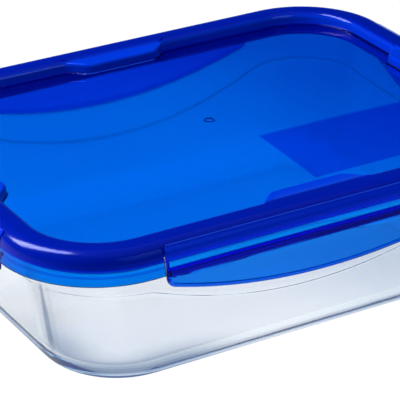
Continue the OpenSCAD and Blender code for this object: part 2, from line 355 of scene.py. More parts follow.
def ledge_shift(st):
    """How far the finger ledges push the rim's inner wall inward at a station."""
    kind, k, v = st
    if kind == "corner":
        return 0.0
    s = abs(v) * (FLAT_X if k % 2 == 0 else FLAT_Y)
    if s >= LEDGE_HALF:
        return 0.0
    if s <= LEDGE_FLAT:
        return LEDGE_W
    return LEDGE_W * (1 - math.cos(math.pi * (LEDGE_HALF - s) / (LEDGE_HALF - LEDGE_FLAT))) / 2


# Distances of the panel's rings from its edge. A ledge bends those nearer than LEDGE_FADE.
PANEL_INSETS = [1.2, 3.0, 6.0, 10.0, 15.0, 21.0, 28.0, 36.0, 44.0, 52.0, 60.0, 67.0, 73.0,
                78.0, 81.0]
LEDGE_FADE = 40.0
LEAST_CORNER = 9.0      # corner radius of the innermost rings


def panel_point(st, inset, shift):
    """The place of a station's point on the panel's ring at an inset."""
    if inset < LEDGE_FADE:
        inset = shift + inset * (LEDGE_FADE - shift) / LEDGE_FADE
    hx, hy = HX - PANEL_EDGE - inset, HY - PANEL_EDGE - inset
    r = min(max(CORNER - PANEL_EDGE - inset, LEAST_CORNER), hy - 0.3)
    x, y, _ = place(st, hx, hy, r, 0)
    return x, y


def rim_wall(shift, z):
    """The rim's inner wall, shift further in for a ledge."""
    return -RIM_W - shift - RIM_LEAN * (TOP - z)


def plug_wall(z):
    """The outer face of the wall that dips inside the glass."""
    return -RIM_W + WALL - 1.2 * (CEILING_Z - z) / (CEILING_Z - PLUG_Z)


BEND = 9                # steps over the shoulder
SKIRT_STEPS = (0.1, 0.2, 0.3, 0.45, 0.5, 0.55, 0.75, 0.92)


def shoulder_cut(u, r):
    """The angle at which the shoulder's arc of radius r is at u."""
    return math.degrees(math.acos((u - SHOULDER_U) / r))


def bend_points(cut, r):
    """The shoulder's arc of radius r, from the angle cut down to level."""
    return arc(SHOULDER_U, SHOULDER_Z, r, cut, 0, BEND)


def skirt_loop(shrink):
    """Outer face, lower edge and inner face of the skirt, thinner by shrink all round."""
    cut = shoulder_cut(RIM_OUT_U, SHOULDER_R)
    in_cut = shoulder_cut(RIM_OUT_U, SHOULDER_R - WALL)
    half = WALL / 2 - shrink
    mid_r = SHOULDER_R - WALL / 2
    mid_low_u = SHOULDER_U + mid_r + SKIRT_FLARE
    line = [(lerp(SHOULDER_U + mid_r, mid_low_u, t), lerp(SHOULDER_Z, SKIRT_Z, t))
            for t in SKIRT_STEPS]
    outer = []
    for i, (u, z) in enumerate(bend_points(cut, mid_r)):
        a = math.radians(lerp(cut, 0, i / BEND))
        outer.append((u + half * math.cos(a), z + half * math.sin(a)))
    outer += [(u + half, z) for u, z in line]
    r = min(0.55, half)
    low = SKIRT_Z + shrink
    edge = arc(mid_low_u + half - r, low + r, r, 0, -90, 4)
    edge += arc(mid_low_u - half + r, low + r, r, -90, -180, 4)
    inner = [(u - half, z) for u, z in line[::-1]]
    return outer + edge + inner + bend_points(in_cut, mid_r - half)[::-1]


SKIRT_POINTS = len(skirt_loop(0.0))


def skirt_state(st):
    """None where a tab hangs, or how much the skirt is thinned near its end."""
    kind, k, v = st
    if kind == "corner":
        return 0.0
    flat, half = (FLAT_X, LONG_TAB / 2) if k % 2 == 0 else (FLAT_Y, SHORT_TAB / 2)
    d = abs(v) * flat - half - TAB_GAP
    if d < -1e-6:
        return None
    return 0.0 if d >= CUT_R else CUT_R - math.sqrt(CUT_R * CUT_R - (CUT_R - d) ** 2)


def lid_column(st, skirt):
    """The lid's closed section at one station, from the panel's middle over the rim, round
    the skirt and the seal channel, and back along the underside."""
    shift = ledge_shift(st)
    panel = [panel_point(st, inset, shift) for inset in PANEL_INSETS]
    x, y = panel_point(st, 0.0, shift)
    z_edge = dome(x, y)
    # fillet, inner wall, and the rounding to the rim's top or the ledge's
    r1 = 1.0
    prof = [(rim_wall(shift, z_edge + r1) - r1 + u, z)
            for u, z in arc(0, z_edge + r1, r1, -90, 0, 5)]
    z_top = TOP - LEDGE_DROP * smooth(shift / 0.8)
    r2 = lerp(3.0, 1.4, smooth(shift / 2.0))
    wall_u = rim_wall(shift, z_top - r2)
    for q in (0.33, 0.66):
        z = lerp(z_edge + r1, z_top - r2, q)
        prof.append((rim_wall(shift, z), z))
    prof += arc(wall_u + r2, z_top - r2, r2, 180, 90, 6)
    # from the ledge up to the rim's flat top, and over the shoulder
    u_a = max(wall_u + r2, -RIM_W - 0.1)
    u_b = max(u_a, -RIM_W + 0.9)
    for q in (0.0, 0.15, 0.3, 0.45, 0.6, 0.75, 0.88, 1.0):
        prof.append((lerp(u_a, u_b, q), lerp(z_top, TOP, smooth(q))))
    prof += [(lerp(u_b, SHOULDER_U, q), TOP) for q in (0.35, 0.7)]
    cut = shoulder_cut(RIM_OUT_U, SHOULDER_R)
    prof += arc(SHOULDER_U, SHOULDER_Z, SHOULDER_R, 90, cut, 6)
    # the skirt, or the plain outer face behind a tab with as many points
    if skirt is None:
        z_cut = prof[-1][1]
        prof += [(RIM_OUT_U, lerp(z_cut, SKIRT_ROOT_Z, (i + 1) / (SKIRT_POINTS + 1)))
                 for i in range(SKIRT_POINTS)]
    else:
        prof += skirt_loop(skirt)
    prof += [(RIM_OUT_U, SKIRT_ROOT_Z), (RIM_OUT_U, 66.6)]
    # the seal channel's outer wall and ceiling, and the wall that dips inside the glass
    r3, r4, r5 = 0.35, 0.3, 0.65
    prof += arc(RIM_OUT_U - r3, CHANNEL_Z + r3, r3, 0, -90, 3)
    prof += arc(CHANNEL_U + r3, CHANNEL_Z + r3, r3, -90, -180, 3)
    prof.append((CHANNEL_U, 67.5))
    prof += arc(CHANNEL_U - r4, CEILING_Z - r4, r4, 0, 90, 3)
    prof += [(-3.0, CEILING_Z), (-RIM_W + WALL + 0.3, CEILING_Z)]
    prof += [(plug_wall(z), z) for z in (69.4, 67.0, 64.5, 62.0)]
    prof += arc(plug_wall(PLUG_Z) - r5, PLUG_Z + r5, r5, 0, -90, 4)
    prof += arc(rim_wall(0, PLUG_Z) + r5, PLUG_Z + r5, r5, -90, -180, 4)
    # pocket under the ledge, then the panel's underside
    z_under = z_edge - WALL
    open_up = smooth((shift - 1.8) / 3.0)
    z_pocket = lerp(z_under, TOP - LEDGE_DROP - 1.2, open_up)
    ua = rim_wall(0, z_pocket) - 0.1
    ub = min(ua, rim_wall(shift, z_pocket) + 1.2)
    uc = min(ua, rim_wall(shift, z_under) + 1.2)
    prof += [(rim_wall(0, z), z) for z in (62.3, 63.6)]
    prof += [(ua, lerp(z_under, z_pocket, q)) for q in (0.0, 0.5, 0.9)]
    prof += [(lerp(ua, ub, q), z_pocket) for q in (0.05, 0.5, 0.95)]
    prof += [(lerp(ub, uc, q), lerp(z_pocket, z_under, q)) for q in (0.1, 0.5, 1.0)]
    col = [(x, y, dome(x, y)) for x, y in reversed(panel)]
    col += [lid_point(st, u, z) for u, z in prof]
    return col + [(x, y, dome(x, y) - WALL) for x, y in panel]


def lid_side(k, half, flat, spread):
    """The lid's columns along one straight side. At each end of the tab's gap there are two
    at the same place, with the skirt and without it."""
    edge = half + TAB_GAP
    near = [edge, edge + 0.05, edge + 0.14, edge + 0.27, edge + CUT_R]
    more = [s for s in (edge + 1.2, edge + 2.8) if s < flat - 0.4]
    ledge = [27.6, 28.5] + [LEDGE_HALF - i for i in range(0, 13)] + [10.0, 5.0]
    right = sorted(set(ledge + [float(s) for s in spread] + near + more))
    cols = []
    for s in [-s for s in reversed(right)] + [0.0] + right:
        st = ("side", k, s / flat)
        if abs(abs(s) - edge) < 1e-9:
            skirts = [CUT_R, None] if s < 0 else [None, CUT_R]
        else:
            skirts = [skirt_state(st)]
        cols += [lid_column(st, skirt) for skirt in skirts]
    return cols


# Places of the lid's columns beyond the ledges, on the long and short sides
LONG_SPREAD = (32, 38, 45, 52, 59, 66, 72)
SHORT_SPREAD = (32, 37, 42, 47, 51)
LID_CORNER_N = 28
OUTLINE_R = 38.0        # corner radius of the outlines that split rim, wall and panel


def build_lid():
    cols = []
    for k in range(4):
        if k % 2 == 0:
            cols += lid_side(k, LONG_TAB / 2, FLAT_X, LONG_SPREAD)
        else:
            cols += lid_side(k, SHORT_TAB / 2, FLAT_Y, SHORT_SPREAD)
        for i in range(LID_CORNER_N + 1):
            cols.append(lid_column(("corner", k, -90 + 90 * k + 90 * i / LID_CORNER_N), 0.0))
    rings = [[c[i] for c in cols] for i in range(len(cols[0]))]
    lid = piece("lid_shell", *skin(rings), 34)
    haze, gloss, painted_light = point_values(lid, "haze", "gloss", "painted_light")
    for v in lid.data.vertices:
        x, y, z = (c / MM for c in v.co)
        u = outside(x, y, HX, HY, OUTLINE_R)
        rise = z - dome(x, y)
        along = abs(x) if abs(y) - HY > abs(x) - HX else abs(y)
        # haze is 0 on the clear panel, 1 on the milky rim, shoulder and plug, 0.8 on the ledges
        plug = ramp(rise, -1.5, -1.9) * ramp(u, -10.3, -10.0) * ramp(u, -7.0, -7.4)
        milky = max(ramp(u, -9.6, -9.0), 0.8 * ramp(rise, 0.15, 0.65), plug)
        haze[v.index].value = milky * skirt_haze(z) if u > 1.0 else milky
        # gloss is 1 where the rim's top and shoulder are polished
        gloss[v.index].value = ramp(z, 68.7, 69.9) * ramp(u, -9.3, -8.7)
        # the painted light is 1 on a strip of each ledge next to the rim, and less on walls,
        # ledges
        #         # and plug: there the milky plastic is painted a lighter blue
        strip = ramp(abs(u + 10.9), 1.5, 0.0) * ramp(rise, 2.0, 2.5)
        strip *= ramp(along, LEDGE_HALF - 4.0, LEDGE_HALF - 8.0)
        inside = ramp(rise, 0.3, 1.1) * ramp(u, -7.4, -8.2)
        painted_light[v.index].value = max(strip, 0.25 * inside, 0.3 * plug)
    return lid


def shoulder_haze(z):
    """The thick shoulder of rim and tabs is milky, and they are clear below it."""
    return ramp(z, 64.0, 64.7)


def skirt_haze(z):
    """The skirt is milky at its shoulder and along a fine line round it."""
    return max(shoulder_haze(z), 0.45 * ramp(abs(z - 62.0), 0.4, 0.0))


# ---------------------------------------------------------------- the latch tabs
TURN = {"front": 0.0, "right": 90.0, "back": 180.0, "left": 270.0}
HALF = {"front": HY, "right": HX, "back": HY, "left": HX}
LENGTH = {"front": LONG_TAB, "right": SHORT_TAB, "back": LONG_TAB, "left": SHORT_TAB}


def turned(side, x, u, z):
    """A point of the tab on a side: x along it, u outside the lid's top edge, height z."""
    a = math.radians(TURN[side])
    y = -HALF[side] - u
    return (x * math.cos(a) - y * math.sin(a), x * math.sin(a) + y * math.cos(a), z)


def knots(z, table):
    """Straight-line interpolation in a table of (z, u), highest z first."""
    if z >= table[0][0]:
        return table[0][1]
    for (z0, u0), (z1, u1) in zip(table, table[1:]):
        if z >= z1:
            return lerp(u0, u1, (z0 - z) / (z0 - z1))
    return table[-1][1]


# The tab's section as (z, u): outer face, inner face with the bead, inner face without it
WING_U = BEAD_OUT_U - WING_IN
OUTER = [(65.5, 4.5), (61.2, 5.21), (60.7, 5.3), (60.3, 5.37), (59.9, 5.4), (57.1, 5.4),
         (56.7, 5.37), (56.3, 5.31), (WING_LOW_Z, WING_U)]
INNER = [(65.5, 3.1), (61.2, 3.92), (60.9, 3.95), (60.6, 3.78), (60.35, 3.35), (59.5, 1.3),
         (59.25, 0.95), (58.95, 0.86), (58.65, 0.9), (58.4, 1.15), (57.65, 2.1), (57.1, 3.0),
         (56.7, 3.65), (56.4, 3.95), (WING_LOW_Z, WING_U - WALL)]
INNER_PLAIN = [(65.5, 3.1), (61.2, 3.92), (56.4, 3.95), (WING_LOW_Z, WING_U - WALL)]
# Levels of the tab's points: down to the bead's foot, across the wing as shares of it, and
# near the lower edge as heights above it
HIGH_LEVELS = [64.3, 63.0, 61.9, 61.2, 60.9, 60.6, 60.35, 59.5, 59.25, 58.95, 58.65, 58.4,
               57.65]
WING_LEVELS = [0.0, 0.03, 0.06, 0.1, 0.25, 0.42, 0.6, 0.78, 0.9]
EDGE_LEVELS = [2.6, 2.2, 1.95, 1.75, 1.55, 1.2, 0.8, 0.5, 0.32, 0.16, 0.05, 0.0]
# Distances of the tab's loops from its ends
END_STEPS = [0.0, 0.05, 0.16, 0.32, 0.5, 0.8, 1.1, 1.4, 1.6, 1.75, 1.9, 2.1, 2.6, 3.3, 4.2, 5.0,
             6.5, 9.0]
TAB_MIDDLE = 12.0       # the evenly spaced loops start this far from the ends
TAB_BEND = 8            # steps over the tab's shoulder


def edge_inset(d):
    """How far the rounded edge is set in at a distance d from it."""
    if d >= TAB_EDGE_R:
        return 0.0
    return TAB_EDGE_R - math.sqrt(max(0.0, TAB_EDGE_R ** 2 - (TAB_EDGE_R - d) ** 2))


def tab_shoulder(r, a0, a1):
    return arc(SHOULDER_U, SHOULDER_Z, r, a0, a1, TAB_BEND)


def build_tab(side):
    half = LENGTH[side] / 2
    # the lower edge is an arc of radius big about (0, cz), with corners about (kx, kz)
    big = (half * half + TAB_SAG ** 2) / (2 * TAB_SAG)
    cz = TAB_LOW + big
    kx = half - TAB_R
    kz = cz - math.sqrt((big - TAB_R) ** 2 - kx * kx)
    foot_x = kx * big / (big - TAB_R)
    foot_z = cz - (cz - kz) * big / (big - TAB_R)

    def low_z(x):
        x = abs(x)
        if x <= foot_x:
            return cz - math.sqrt(big * big - x * x)
        return kz - math.sqrt(max(0.0, TAB_R ** 2 - (x - kx) ** 2))

    def edge_distance(x, z):
        x = abs(x)
        ex, ez = x - kx, z - kz
        if ex > 0 and ez < 0 and ex * (kz - foot_z) >= (foot_x - kx) * -ez:
            return TAB_R - math.hypot(ex, ez)
        return min(big - math.hypot(x, z - cz), half - x)

    def levels(x):
        low = low_z(x)
        scale = min(1.0, (WING_TOP_Z - low) / 4.5)
        top = low + EDGE_LEVELS[0] * scale
        wing = [lerp(WING_TOP_Z, top, q) for q in WING_LEVELS]
        return HIGH_LEVELS + wing + [low + b * scale for b in EDGE_LEVELS]

    def outer_u(x, z):
        """The outer face, with the low lip along its edge."""
        lip = smooth((1.95 - edge_distance(x, z)) / 0.4) * smooth((57.2 - z) / 0.8)
        return knots(z, OUTER) + 0.5 * lip

    mids = int((half - TAB_MIDDLE) / 4)
    pos = [half - d for d in END_STEPS]
    pos += [(half - TAB_MIDDLE) * i / mids for i in range(mids, 0, -1)]
    out_a = shoulder_cut(TAB_U, SHOULDER_R)
    in_a = shoulder_cut(TAB_U, SHOULDER_R - WALL)
    loops = []
    for x in [-p for p in pos] + [0.0] + pos[::-1]:
        d_end = half - abs(x)
        e0 = edge_inset(d_end)
        # a rib thickens the tab's ends, and the bead stops short of them with a rounded end
        rib = smooth((1.6 - d_end) / 0.5)
        beaded = smooth((d_end - 0.6) / 2.2)
        zs = levels(x)
        loop = tab_shoulder(SHOULDER_R - e0, out_a, 0)
        loop += [(outer_u(x, z) - edge_inset(max(0.0, edge_distance(x, z))), z) for z in zs]
        for z in zs[::-1]:
            e = edge_inset(max(0.0, edge_distance(x, z)))
            u = lerp(knots(z, INNER_PLAIN), knots(z, INNER), beaded)
            if z > 57.0:
                u = min(u, knots(z, INNER_PLAIN) - rib * smooth((z - 57.0) / 1.5))
            loop.append((min(u + e, outer_u(x, z) - e - 0.2), z))
        loop += tab_shoulder(SHOULDER_R - WALL + e0, 0, in_a)
        loop[0] = (max(loop[0][0], TAB_U), loop[0][1])
        loops.append([turned(side, x, u, z) for u, z in loop])
    tab = piece(side + "_tab_shell", *skin(loops), 34)
    (haze,) = point_values(tab, "haze")
    for v in tab.data.vertices:
        z = v.co.z / MM
        along = abs(v.co.x if side in ("front", "back") else v.co.y) / MM
        bead = ramp(z, 60.9, 59.5) * ramp(z, 57.4, 57.9)
        end = ramp(along, half - 1.3, half - 0.3)
        haze[v.index].value = max(shoulder_haze(z), 0.5 * bead, 0.7 * end)
    return tab


WEB_IN, WEB_OUT = 2.16, 2.70        # the web's edges, in the rim and in the tab
WEB_TOP, WEB_LOW = 70.1, 69.72
WEB_N, WEB_LONG_N = 8, 36           # its steps across and along


def build_hinge(side):
    """The thin web between rim and tab, a shallow groove seen from above."""
    half = LENGTH[side] / 2 - 0.6
    us = [WEB_IN + (WEB_OUT - WEB_IN) * i / WEB_N for i in range(WEB_N + 1)]
    hollow = [math.sin(math.pi * i / WEB_N) for i in range(WEB_N + 1)]
    top = [(u, WEB_TOP - 0.07 * h) for u, h in zip(us, hollow)]
    low = [(u, WEB_LOW + 0.03 * h) for u, h in zip(us, hollow)]
    loops = []
    for i in range(WEB_LONG_N + 1):
        x = -half + 2 * half * i / WEB_LONG_N
        loops.append([turned(side, x, u, z) for u, z in top + low[::-1]])
    web = piece(side + "_hinge_web", *skin(loops), 40)
    (haze,) = point_values(web, "haze")
    for v in web.data.vertices:
        haze[v.index].value = 1.0
    return web


# ---------------------------------------------------------------- seal, patch, gate mark
SEAL_IN, SEAL_OUT = -6.4, 0.5               # its faces, as u
SEAL_BASE_Z, SEAL_TOP_Z = 67.2, 69.6
SEAL_RIB_R, SEAL_RIB_APART = 0.6, 1.44      # two ribs, each this far from the middle


def build_seal():
    sts = stations(between(FLAT_X, 12), between(FLAT_Y, 8), 28)
    mid = (SEAL_IN + SEAL_OUT) / 2
    prof = [(-6.2, SEAL_TOP_Z), (SEAL_IN, 69.4), (SEAL_IN, 67.5), (-6.1, SEAL_BASE_Z)]
    prof += arc(mid - SEAL_RIB_APART, SEAL_BASE_Z, SEAL_RIB_R, 180, 360, 10)
    prof += arc(mid + SEAL_RIB_APART, SEAL_BASE_Z, SEAL_RIB_R, 180, 360, 10)
    prof += [(0.2, SEAL_BASE_Z), (SEAL_OUT, 67.5), (SEAL_OUT, 69.4), (0.3, SEAL_TOP_Z),
             (-3.0, SEAL_TOP_Z)]
    rings = [[lid_point(st, u, z) for st in sts] for u, z in prof]
    return piece("silicone_gasket", *skin(rings, caps=(False, False), wrap=True), 40)


FIELD_X, FIELD_Y = (10.0, 92.0), (-67.5, -22.5)     # the writing field's edges
FIELD_FADE = 1.3                                    # it thins towards them over this
FIELD_THIN, FIELD_THICK, FIELD_GAP = 0.02, 0.42, 0.04


def field_places(a, b, n):
    inner = [lerp(a + FIELD_FADE, b - FIELD_FADE, i / n) for i in range(n + 1)]
    return [a, a + 0.3, a + 0.65, a + 1.0] + inner + [b - 1.0, b - 0.65, b - 0.3, b]


def build_patch():
    """The darker writing field: a thin layer under the panel that follows its dome."""
    gx, gy = field_places(*FIELD_X, 20), field_places(*FIELD_Y, 12)
    nx, ny = len(gx) - 1, len(gy) - 1
    upper, lower = [], []
    for y in gy:
        for x in gx:
            inside = min(x - FIELD_X[0], FIELD_X[1] - x, y - FIELD_Y[0], FIELD_Y[1] - y)
            z = dome(x, y) - WALL - FIELD_GAP
            upper.append((x, y, z))
            lower.append((x, y, z - lerp(FIELD_THIN, FIELD_THICK, smooth(inside / FIELD_FADE))))
    off, w = len(upper), nx + 1
    faces = []
    for j in range(ny):
        for i in range(nx):
            a = j * w + i
            faces.append((a, a + 1, a + 1 + w, a + w))
            faces.append((off + a, off + a + w, off + a + 1 + w, off + a + 1))
    rim = list(range(w)) + [j * w + nx for j in range(1, ny + 1)]
    rim += [ny * w + i for i in range(nx - 1, -1, -1)] + [j * w for j in range(ny - 1, 0, -1)]
    for a, b in zip(rim, rim[1:] + rim[:1]):
        faces.append((a, off + a, off + b, b))
    return piece("writing_field", upper + lower, faces, 40)


# The mark's section: distance from the middle, height over the panel
MARK = [(1.3, 0.02), (1.6, 0.05), (1.85, 0.18), (2.05, 0.24), (2.25, 0.18), (2.5, 0.02),
        (2.5, -0.15)]
MARK_N = 40             # steps round it


def build_gate_mark():
    """The small round moulding mark in the middle of the panel."""
    rings = []
    for r, h in MARK:
        turns = [2 * math.pi * i / MARK_N for i in range(MARK_N)]
        z = PANEL_Z + PANEL_RISE + h
        rings.append([(r * math.cos(a), r * math.sin(a), z) for a in turns])
    return piece("gate_mark", *skin(rings), 40)


# ---------------------------------------------------------------- materials
def new_material(name):
    mat = bpy.data.materials.new(name)
    mat.use_nodes = True
    nt = mat.node_tree
    nt.nodes.clear()
    out = nt.nodes.new("ShaderNodeOutputMaterial")
    bsdf = nt.nodes.new("ShaderNodeBsdfPrincipled")
    nt.links.new(bsdf.outputs["BSDF"], out.inputs["Surface"])
    return mat, nt, bsdf, out


def noise(nt, scale, detail=3.0, rough=0.5, stretch=(1, 1, 1)):
    """Noise in object coordinates, in metres."""
    coord = nt.nodes.new("ShaderNodeTexCoord")
    mapping = nt.nodes.new("ShaderNodeMapping")
    mapping.inputs["Scale"].default_value = stretch
    tex = nt.nodes.new("ShaderNodeTexNoise")
    tex.inputs["Scale"].default_value = scale
    tex.inputs["Detail"].default_value = detail
    tex.inputs["Roughness"].default_value = rough
    nt.links.new(coord.outputs["Object"], mapping.inputs["Vector"])
    nt.links.new(mapping.outputs["Vector"], tex.inputs["Vector"])
    return tex.outputs["Fac"]


def point_value(nt, name):
    """A per-point number of the mesh; 0 on a mesh that has none of that name."""
    node = nt.nodes.new("ShaderNodeAttribute")
    node.attribute_name = name
    return node.outputs["Fac"]


# The middle part of a noise's values, which the looks are spread over
NOISE_LO, NOISE_HI = 0.35, 0.65


def remap(nt, value, lo, hi, from_lo=NOISE_LO, from_hi=NOISE_HI):
    node = nt.nodes.new("ShaderNodeMapRange")
    node.inputs["From Min"].default_value = from_lo
    node.inputs["From Max"].default_value = from_hi
    node.inputs["To Min"].default_value = lo
    node.inputs["To Max"].default_value = hi
    nt.links.new(value, node.inputs["Value"])
    return node.outputs["Result"]


def mix_by(nt, factor, low, high):
    """A number that goes from low to high with factor; either may be a socket."""
    node = nt.nodes.new("ShaderNodeMix")
    node.data_type = "FLOAT"
    nt.links.new(factor, node.inputs["Factor"])
    for socket, value in (("A", low), ("B", high)):
        if isinstance(value, (int, float)):
            node.inputs[socket].default_value = value
        else:
            nt.links.new(value, node.inputs[socket])
    return node.outputs["Result"]


# Numbers of the Mix node's colour sockets, as its names are used more than once
MIX_A, MIX_B, MIX_RESULT = 6, 7, 2


def mix_color(nt, factor, low, high):
    """A colour that goes from the socket low to the socket high with factor."""
    node = nt.nodes.new("ShaderNodeMix")
    node.data_type = "RGBA"
    nt.links.new(factor, node.inputs["Factor"])
    nt.links.new(low, node.inputs[MIX_A])
    nt.links.new(high, node.inputs[MIX_B])
    return node.outputs[MIX_RESULT]


def two_tone(nt, value, dark, light):
    ramp_node = nt.nodes.new("ShaderNodeValToRGB")
    low, high = ramp_node.color_ramp.elements
    low.position, low.color = NOISE_LO, (*dark, 1)
    high.position, high.color = NOISE_HI, (*light, 1)
    nt.links.new(value, ramp_node.inputs["Fac"])
    return ramp_node.outputs["Color"]


def bump(nt, bsdf, value, distance, strength=1.0, below=None):
    node = nt.nodes.new("ShaderNodeBump")
    node.inputs["Strength"].default_value = strength
    node.inputs["Distance"].default_value = distance
    nt.links.new(value, node.inputs["Height"])
    if below is not None:
        nt.links.new(below, node.inputs["Normal"])
    nt.links.new(node.outputs["Normal"], bsdf.inputs["Normal"])
    return node.outputs["Normal"]


def absorb(nt, out, color, density):
    vol = nt.nodes.new("ShaderNodeVolumeAbsorption")
    vol.inputs["Color"].default_value = (*color, 1)
    vol.inputs["Density"].default_value = density
    nt.links.new(vol.outputs["Volume"], out.inputs["Volume"])


def glass_material():
    """Clear glass with a faint waviness, tinted dark by a painted streak of shade as far as its
    per-point attribute says.
    """
    mat, nt, bsdf, out = new_material("clear_pressed_glass")
    bsdf.inputs["Transmission Weight"].default_value = 1.0
    bsdf.inputs["IOR"].default_value = 1.517
    broad = noise(nt, 38.0, 1.0)
    plain = two_tone(nt, broad, (0.985, 0.99, 0.995), (1.0, 1.0, 1.0))
    # Painted shade: the dark blue of the streak in the front left corner
    dark = two_tone(nt, broad, (0.02, 0.11, 0.28), (0.03, 0.12, 0.30))
    nt.links.new(mix_color(nt, point_value(nt, "painted_streak"), plain, dark), bsdf.inputs["Base Color"])
    nt.links.new(remap(nt, noise(nt, 160.0, 3.0), 0.0, 0.012), bsdf.inputs["Roughness"])
    bump(nt, bsdf, broad, 0.00025, 0.25)
    absorb(nt, out, (0.45, 0.74, 0.97), 22.0)
    return mat


def plastic_material(name, coat, green, milky_color, through):
    """Tinted plastic: clear where the mesh's haze is 0 and milky where it is 1. green is the
    green that the tint lets through, through is the share of light that crosses the milky
    parts, and coat is the polish where the mesh's gloss is 1. Where the mesh's painted-light
    value is above 0 the milky parts get painted light: a lighter blue, with less light let
    through."""
    mat, nt, bsdf, out = new_material(name)
    bsdf.inputs["IOR"].default_value = 1.42
    bsdf.inputs["Specular Tint"].default_value = (0.0, 0.12, 1.0, 1)
    bsdf.inputs["Coat Roughness"].default_value = 0.12
    bsdf.inputs["Coat IOR"].default_value = 1.5
    flow = noise(nt, 14.0, 2.0, 0.5, (1.0, 2.2, 1.0))
    fine = noise(nt, 2400.0, 2.0, 0.5)
    haze = point_value(nt, "haze")
    painted_light = point_value(nt, "painted_light")
    clear = two_tone(nt, flow, (0.96, 0.97, 1.0), (1.0, 1.0, 1.0))
    milky = two_tone(nt, flow, [0.95 * c for c in milky_color], milky_color)
    # Painted light: the lighter blue that the milky parts take where the painted-light value is
    # above 0
    painted_lit_blue = two_tone(nt, flow, (0.0, 0.10, 0.95), (0.0, 0.12, 1.0))
    milky = mix_color(nt, painted_light, milky, painted_lit_blue)
    color = mix_color(nt, remap(nt, haze, 0.0, 1.0, 0.0, 0.5), clear, milky)
    nt.links.new(color, bsdf.inputs["Base Color"])
    clearness = remap(nt, haze, 1.0, through, 0.5, 1.0)
    clearness = mix_by(nt, remap(nt, painted_light, 0.0, 1.0, 0.0, 0.25), clearness, 0.1)
    nt.links.new(clearness, bsdf.inputs["Transmission Weight"])
    rough = mix_by(nt, haze, remap(nt, fine, 0.04, 0.07), remap(nt, fine, 0.17, 0.22))
    nt.links.new(rough, bsdf.inputs["Roughness"])
    nt.links.new(mix_by(nt, point_value(nt, "gloss"), 0.02, coat), bsdf.inputs["Coat Weight"])
    first = bump(nt, bsdf, flow, 0.0004, 0.25)
    bump(nt, bsdf, fine, 0.000004, 0.35, below=first)
    absorb(nt, out, (0.0, green, 0.9888), 6000.0)
    return mat


def tint_material():
    """The darker writing field: a tint in the plastic, with no surface of its own."""
    mat, nt, bsdf, out = new_material("writing_field_tint")
    bsdf.inputs["Transmission Weight"].default_value = 1.0
    bsdf.inputs["IOR"].default_value = 1.0
    bsdf.inputs["Roughness"].default_value = 0.0
    color = two_tone(nt, noise(nt, 220.0, 3.0), (0.96, 0.98, 1.0), (1.0, 1.0, 1.0))
    nt.links.new(color, bsdf.inputs["Base Color"])
    absorb(nt, out, (0.0, 0.80, 0.968), 5000.0)
    return mat


def silicone_material():
    mat, nt, bsdf, _ = new_material("soft_white_silicone")
    bsdf.inputs["Transmission Weight"].default_value = 0.35
    bsdf.inputs["IOR"].default_value = 1.41
    fine = noise(nt, 1400.0, 3.0, 0.6)
    color = two_tone(nt, noise(nt, 60.0), (0.74, 0.77, 0.80), (0.82, 0.84, 0.86))
    nt.links.new(color, bsdf.inputs["Base Color"])
    nt.links.new(remap(nt, fine, 0.42, 0.58), bsdf.inputs["Roughness"])
    bump(nt, bsdf, fine, 0.00003, 0.4)
    return mat


def floor_material():
    """A white light table, cut out to plain white where it is seen directly. The glass and the
    plastic see it with painted shade in its glow, such as the contact shadow round the dish's
    foot."""
    mat, nt, bsdf, out = new_material("white_light_table")
    color = two_tone(nt, noise(nt, 30.0, 2.0), (0.02, 0.02, 0.02), (0.03, 0.03, 0.03))
    nt.links.new(color, bsdf.inputs["Base Color"])
    bsdf.inputs["Roughness"].default_value = 0.9
    bsdf.inputs["Specular IOR Level"].default_value = 0.0
    painted_shade_glow = nt.nodes.new("ShaderNodeAttribute")
    painted_shade_glow.attribute_name = "painted_shade_glow"
    nt.links.new(painted_shade_glow.outputs["Color"], bsdf.inputs["Emission Color"])
    bsdf.inputs["Emission Strength"].default_value = 1.04
    plain = nt.nodes.new("ShaderNodeEmission")
    plain.inputs["Strength"].default_value = 1.03
    path = nt.nodes.new("ShaderNodeLightPath")
    choose = nt.nodes.new("ShaderNodeMixShader")
    nt.links.new(path.outputs["Is Camera Ray"], choose.inputs["Fac"])
    nt.links.new(bsdf.outputs["BSDF"], choose.inputs[1])
    nt.links.new(plain.outputs["Emission"], choose.inputs[2])
    nt.links.new(choose.outputs["Shader"], out.inputs["Surface"])
    return mat


# ---------------------------------------------------------------- assemble
glass = glass_material()
lid_blue = plastic_material("blue_lid_plastic", coat=0.34, green=0.8233,
                            milky_color=(0.0, 0.0205, 0.69), through=0.5)
# Painted light: the tab's milky blue is lighter than the lid's, standing in for light its upright
# faces miss
tab_blue = plastic_material("blue_tab_plastic", coat=0.05, green=0.843,
                            milky_color=(0.0, 0.038, 1.0), through=0.3)
# The web is a paler, milkier blue than the rim, which shows as a light line along the hinge
web_blue = plastic_material("paler_web_plastic", coat=0.05, green=0.90,
                            milky_color=(0.012, 0.07, 0.9), through=0.1)
field_tint = tint_material()
silicone = silicone_material()


def finish_piece(obj, mat, body, slot, *nodes):
    obj.data.materials.clear()
    obj.data.materials.append(mat)
    if body is not None:
        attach(obj, body)
    if nodes:
        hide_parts(*nodes)


finish_piece(build_dish(), glass, "dish", "clear_glass", "glass_dish")
finish_piece(build_lid(), lid_blue, "lid", "lid_plastic", "lid_rim", "lid_panel")
finish_piece(build_seal(), silicone, "lid", "silicone", "silicone_seal")
finish_piece(build_patch(), field_tint, "lid", "lid_plastic")
finish_piece(build_gate_mark(), lid_blue, "lid", "lid_plastic")

for side in ("front", "right", "back", "left"):
    finish_piece(build_tab(side), tab_blue, side + "_tab", "tab_plastic", "latch_tab_" + side)
    web = build_hinge(side)
    finish_piece(web, web_blue, None, "tab_plastic", "living_hinge_" + side)
    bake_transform(web)


